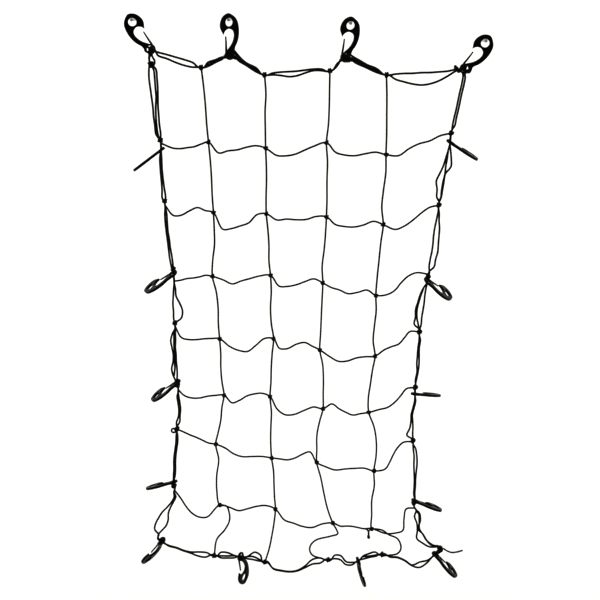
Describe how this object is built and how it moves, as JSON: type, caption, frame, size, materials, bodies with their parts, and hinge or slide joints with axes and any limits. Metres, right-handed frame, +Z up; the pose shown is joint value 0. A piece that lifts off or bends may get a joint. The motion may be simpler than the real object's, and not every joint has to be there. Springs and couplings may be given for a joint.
{
  "type": "cargo net with snap hooks on wall pins",
  "caption": "Rectangular net of knotted cord with a doubled cord border and snap hooks along every edge, hung from short wall pins.",
  "frame": {"origin": "centre of the back end of the second wall pin from the left, on the wall's face", "axes": "+Z up along the hung net, +X to the right seen from the front, +Y into the wall, so the front faces -Y"},
  "size_m": [0.6824, 0.0869, 1.1691],
  "materials": {
    "black_braid": "matt braided cord, with a faint sheen on its strands",
    "black_nylon": "moulded, half matt",
    "pin_steel": "plain zinc-plated wire"
  },
  "bodies": {
    "root": {"net": "black_braid", "border_cord": "black_braid", "border_tail": "black_braid", "hook_top_1": "black_nylon", "hook_top_2": "black_nylon", "hook_top_3": "black_nylon", "hook_top_4": "black_nylon", "hook_left_1": "black_nylon", "hook_left_2": "black_nylon", "hook_left_3": "black_nylon", "hook_left_4": "black_nylon", "hook_right_1": "black_nylon", "hook_right_2": "black_nylon", "hook_right_3": "black_nylon", "hook_right_4": "black_nylon", "hook_bottom_1": "black_nylon", "hook_bottom_2": "black_nylon", "hook_bottom_3": "black_nylon", "hook_bottom_4": "black_nylon", "wall_pin_1": "pin_steel", "wall_pin_2": "pin_steel", "wall_pin_3": "pin_steel", "wall_pin_4": "pin_steel"}
  },
  "joints": []
}
